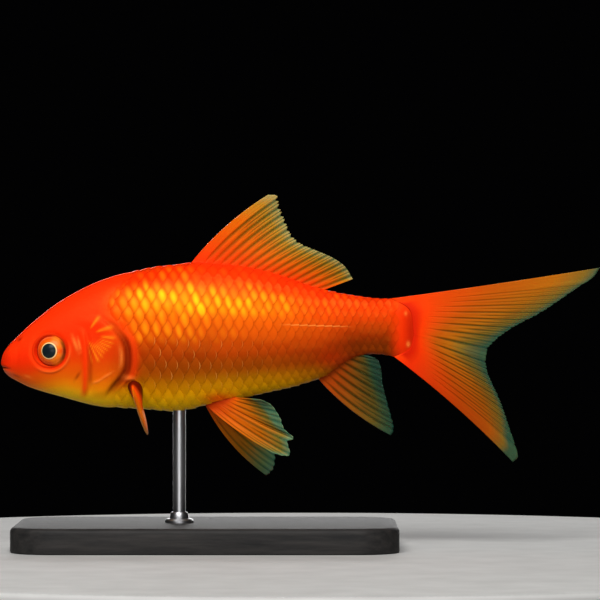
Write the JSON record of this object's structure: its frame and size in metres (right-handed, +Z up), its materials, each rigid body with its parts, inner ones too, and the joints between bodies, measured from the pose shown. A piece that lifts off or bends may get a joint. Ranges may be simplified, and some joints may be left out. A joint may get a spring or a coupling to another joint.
{
  "type": "goldfish display model",
  "caption": "Life-size still model of an orange goldfish swimming level, held by one upright rod on a flat rounded black base.",
  "frame": {"origin": "centre of the bounding box, on the underside of the stand's base", "axes": "+X from the snout towards the tail, +Z up, the fish's left side faces -Y"},
  "size_m": [0.1404, 0.052, 0.0832],
  "materials": {
    "skin": "glossy red-orange scales shading to gold on the belly",
    "gill_cover": "glossy orange bone with fine radiating ridges",
    "fin": "translucent orange webs between bony rays, olive to teal at the edge",
    "eye": "wet clear cornea over an orange iris, a pale gold ring and a dark pupil",
    "black_wood": "ebonised, satin",
    "steel": "satin"
  },
  "bodies": {
    "root": {"head": "skin", "lower_jaw": "skin", "trunk": "skin", "tail_stalk": "skin", "gill_cover_left": "gill_cover", "gill_cover_right": "gill_cover", "dorsal_fin": "fin", "anal_fin": "fin", "tail_fin_upper": "fin", "tail_fin_lower": "fin", "pectoral_fin_left": "fin", "pectoral_fin_right": "fin", "pelvic_fin_left": "fin", "pelvic_fin_right": "fin", "eye_left": "eye", "eye_right": "eye", "stand_base": "black_wood", "stand_rod": "steel"}
  },
  "joints": []
}
